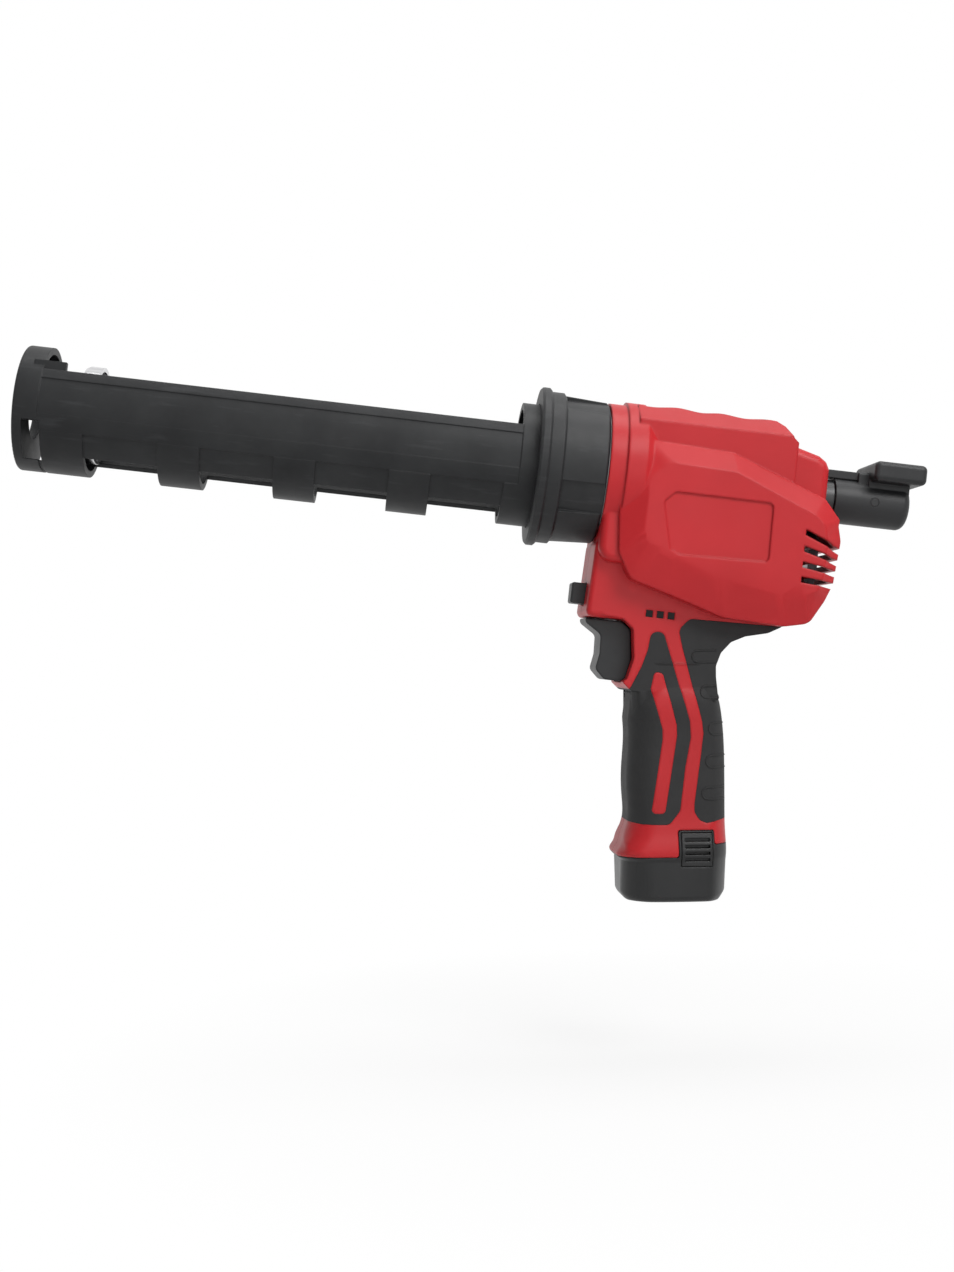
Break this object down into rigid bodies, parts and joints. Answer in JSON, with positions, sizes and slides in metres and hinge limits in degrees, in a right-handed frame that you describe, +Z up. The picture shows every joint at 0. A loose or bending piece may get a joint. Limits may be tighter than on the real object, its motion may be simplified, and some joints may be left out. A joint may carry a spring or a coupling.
{
  "type": "cordless caulking tool",
  "caption": "Battery-powered caulking tool: open cartridge trough locked by a collar to a pistol-grip housing, with a motor-driven toothed push rod and piston.",
  "frame": {"origin": "middle of the plane on which the cartridge seats, on the push rod's axis, at the inner face of the front end plate", "axes": "+X along the push rod towards the rear, +Y to the tool's right side, +Z up, away from the handle"},
  "size_m": [0.429, 0.0758, 0.2389],
  "materials": {
    "red_housing": "satin, fine texture",
    "black_nylon": "satin",
    "black_collar": "satin",
    "grip_rubber": "matt",
    "dark_plastic": "matt",
    "battery_black": "matt",
    "rod_steel": "bright",
    "piston_steel": "plated",
    "gear_steel": "ground",
    "screw_steel": "blackened",
    "cast_alloy": "cast",
    "bush_bronze": "sintered",
    "dark_bush": "satin",
    "gearbox_grey": "moulded",
    "motor_steel": "plated",
    "board_green": "lacquered",
    "gauge_dark": "smoked",
    "cell_sleeve": "shrink sleeve",
    "contact_brass": "plated"
  },
  "bodies": {
    "housing": {"housing_left": "red_housing", "housing_right": "red_housing", "grip_left": "grip_rubber", "grip_right": "grip_rubber", "housing_screws": "screw_steel", "gear_case": "cast_alloy", "gear_case_cover": "cast_alloy", "cover_screws": "screw_steel", "shaft_bearings": "bush_bronze", "front_bush": "bush_bronze", "rear_bush": "dark_bush", "gearbox": "gearbox_grey", "motor_can": "motor_steel", "motor_end_cap": "gearbox_grey", "switch_body": "dark_plastic", "control_board": "board_green", "gauge_lenses": "gauge_dark", "terminal_block": "dark_plastic", "terminal_blades": "contact_brass"},
    "rod": {"push_rod": "rod_steel", "piston_plate": "piston_steel", "piston_screw": "screw_steel", "pull_handle": "dark_plastic", "handle_pin": "screw_steel"},
    "pinion": {"rack_pinion": "gear_steel", "pinion_shaft": "gear_steel"},
    "clutch": {"clutch_gear": "gear_steel"},
    "cross": {"cross_shaft": "gear_steel", "cross_pinion": "gear_steel", "bevel_gear": "gear_steel"},
    "drive": {"bevel_pinion": "gear_steel"},
    "armature": {"motor_shaft": "gear_steel", "motor_fan": "dark_plastic"},
    "barrel": {"cartridge_barrel": "black_nylon"},
    "collar": {"lock_collar": "black_collar"},
    "trigger_lever": {"trigger": "dark_plastic"},
    "button": {"front_button": "dark_plastic"},
    "battery": {"battery_case": "battery_black", "battery_cap": "battery_black", "battery_cells": "cell_sleeve", "battery_contacts": "contact_brass"},
    "latch_left": {"battery_latch_left": "battery_black"},
    "latch_right": {"battery_latch_right": "battery_black"}
  },
  "joints": [
    {"name": "rod_slide", "type": "slide", "parent": "housing", "child": "rod", "axis": [1, 0, 0], "range_m": [0, 0.208]},
    {"name": "pinion_spin", "type": "hinge", "parent": "housing", "child": "pinion", "pos_m": [0.296, 0, -0.0136], "axis": [0, 1, 0], "range_deg": [-5, 1375]},
    {"name": "motor_spin", "type": "hinge", "parent": "housing", "child": "armature", "pos_m": [0.35, 0, -0.03245], "axis": [1, 0, 0], "continuous": true},
    {"name": "drive_spin", "type": "hinge", "parent": "housing", "child": "drive", "pos_m": [0.305, 0, -0.03245], "axis": [1, 0, 0], "continuous": true},
    {"name": "cross_spin", "type": "hinge", "parent": "housing", "child": "cross", "pos_m": [0.296, 0, -0.03245], "axis": [0, 1, 0], "continuous": true},
    {"name": "clutch_spin", "type": "hinge", "parent": "housing", "child": "clutch", "pos_m": [0.296, 0, -0.0136], "axis": [0, 1, 0], "continuous": true},
    {"name": "barrel_slide", "type": "slide", "parent": "housing", "child": "barrel", "axis": [-1, 0, 0], "range_m": [0, 0.25]},
    {"name": "collar_turn", "type": "hinge", "parent": "barrel", "child": "collar", "pos_m": [0.253, 0, 0], "axis": [1, 0, 0], "range_deg": [0, 60]},
    {"name": "trigger_pull", "type": "slide", "parent": "housing", "child": "trigger_lever", "axis": [1, 0, 0], "range_m": [0, 0.006], "stiffness_N_per_m": 600, "springref_m": -0.004},
    {"name": "button_press", "type": "slide", "parent": "housing", "child": "button", "axis": [1, 0, 0], "range_m": [0, 0.004], "stiffness_N_per_m": 400, "springref_m": -0.002},
    {"name": "battery_slide", "type": "slide", "parent": "housing", "child": "battery", "axis": [0.1115, 0, -0.9938], "range_m": [0, 0.075]},
    {"name": "latch_left_press", "type": "slide", "parent": "battery", "child": "latch_left", "axis": [0, 1, 0], "range_m": [0, 0.0016], "stiffness_N_per_m": 500, "springref_m": -0.001},
    {"name": "latch_right_press", "type": "slide", "parent": "battery", "child": "latch_right", "axis": [0, -1, 0], "range_m": [0, 0.0016], "stiffness_N_per_m": 500, "springref_m": -0.001}
  ],
  "couplings": [
    {"joint": "pinion_spin", "follows": "rod_slide", "rad_per_m": 114.29},
    {"joint": "drive_spin", "follows": "motor_spin", "ratio": 0.041667},
    {"joint": "cross_spin", "follows": "motor_spin", "ratio": -0.020833},
    {"joint": "clutch_spin", "follows": "motor_spin", "ratio": 0.013889}
  ]
}
